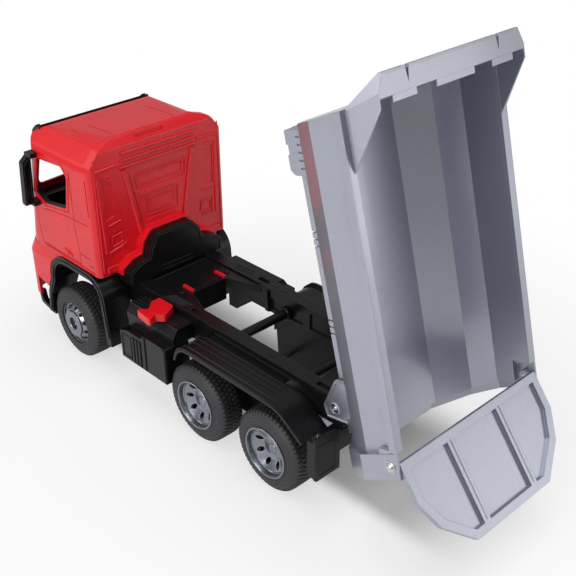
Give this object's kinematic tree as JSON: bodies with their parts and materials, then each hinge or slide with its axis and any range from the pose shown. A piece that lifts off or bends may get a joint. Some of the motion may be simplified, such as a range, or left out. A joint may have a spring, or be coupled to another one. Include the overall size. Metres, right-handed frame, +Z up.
{
  "type": "toy dump truck",
  "caption": "Plastic toy tipper truck: open-window cab, ladder chassis with twin rear axles, half-pipe tipping bed with cab guard and a swinging tailgate.",
  "frame": {"origin": "on the floor under the middle of the truck as it stands with the bed tipped and the tailgate swung open", "axes": "+X forward, +Y to the truck's left, +Z up"},
  "size_m": [0.6223, 0.203, 0.4232],
  "materials": {
    "red_plastic": "satin gloss moulded red",
    "black_plastic": "satin moulded black",
    "silver_plastic": "silver-grey metallic moulding",
    "rim_plastic": "silver metallic moulding",
    "tyre": "matt dark grey",
    "axle_steel": "plain steel rod",
    "pin_metal": "bright domed rivet",
    "lamp_plastic": "pale grey lamp"
  },
  "bodies": {
    "truck": {"rail_left": "black_plastic", "rail_right": "black_plastic", "frame_deck": "black_plastic", "cross_tubes": "black_plastic", "bogie_plates": "black_plastic", "front_axle_plates": "black_plastic", "tail_beam": "black_plastic", "storage_box_left": "black_plastic", "storage_box_right": "black_plastic", "side_step_left": "black_plastic", "side_step_right": "black_plastic", "side_deck_left": "black_plastic", "side_deck_right": "black_plastic", "rear_fender_left": "black_plastic", "rear_fender_right": "black_plastic", "mudflaps": "black_plastic", "release_lever": "red_plastic", "engine_hump": "black_plastic", "bed_catches": "red_plastic", "front_guard_left": "black_plastic", "front_guard_right": "black_plastic", "front_steps": "black_plastic", "cab_shell": "red_plastic", "bumper": "red_plastic", "grille": "black_plastic", "headlights": "lamp_plastic", "sun_visor": "black_plastic", "mirror_left": "black_plastic", "mirror_right": "black_plastic", "cab_interior": "black_plastic", "seats": "black_plastic"},
    "bed": {"bed_shell": "silver_plastic", "headboard": "silver_plastic", "canopy": "silver_plastic", "bed_collar": "silver_plastic", "bed_rims": "silver_plastic", "bed_beams": "silver_plastic", "bed_rests": "silver_plastic", "hinge_brackets": "silver_plastic", "gate_pins": "pin_metal"},
    "tailgate": {"tailgate": "silver_plastic"},
    "front_wheels": {"axle_front": "axle_steel", "rims_front": "rim_plastic", "tyre_front_left": "tyre", "tyre_front_right": "tyre"},
    "middle_wheels": {"axle_middle": "axle_steel", "rims_middle": "rim_plastic", "tyre_middle_left": "tyre", "tyre_middle_right": "tyre"},
    "last_wheels": {"axle_last": "axle_steel", "rims_last": "rim_plastic", "tyre_last_left": "tyre", "tyre_last_right": "tyre"}
  },
  "joints": [
    {"name": "bed_tip", "type": "hinge", "parent": "truck", "child": "bed", "pos_m": [-0.1553, 0, 0.105], "axis": [0, 1, 0], "range_deg": [0, 75.5]},
    {"name": "tailgate_swing", "type": "hinge", "parent": "bed", "child": "tailgate", "pos_m": [-0.25064, 0, 0.11778], "axis": [0, -1, 0], "range_deg": [-18, 96.9]},
    {"name": "front_axle_spin", "type": "hinge", "parent": "truck", "child": "front_wheels", "pos_m": [0.217, 0, 0.042], "axis": [0, 1, 0], "continuous": true},
    {"name": "middle_axle_spin", "type": "hinge", "parent": "truck", "child": "middle_wheels", "pos_m": [0.0027, 0, 0.042], "axis": [0, 1, 0], "continuous": true},
    {"name": "last_axle_spin", "type": "hinge", "parent": "truck", "child": "last_wheels", "pos_m": [-0.0997, 0, 0.042], "axis": [0, 1, 0], "continuous": true}
  ]
}
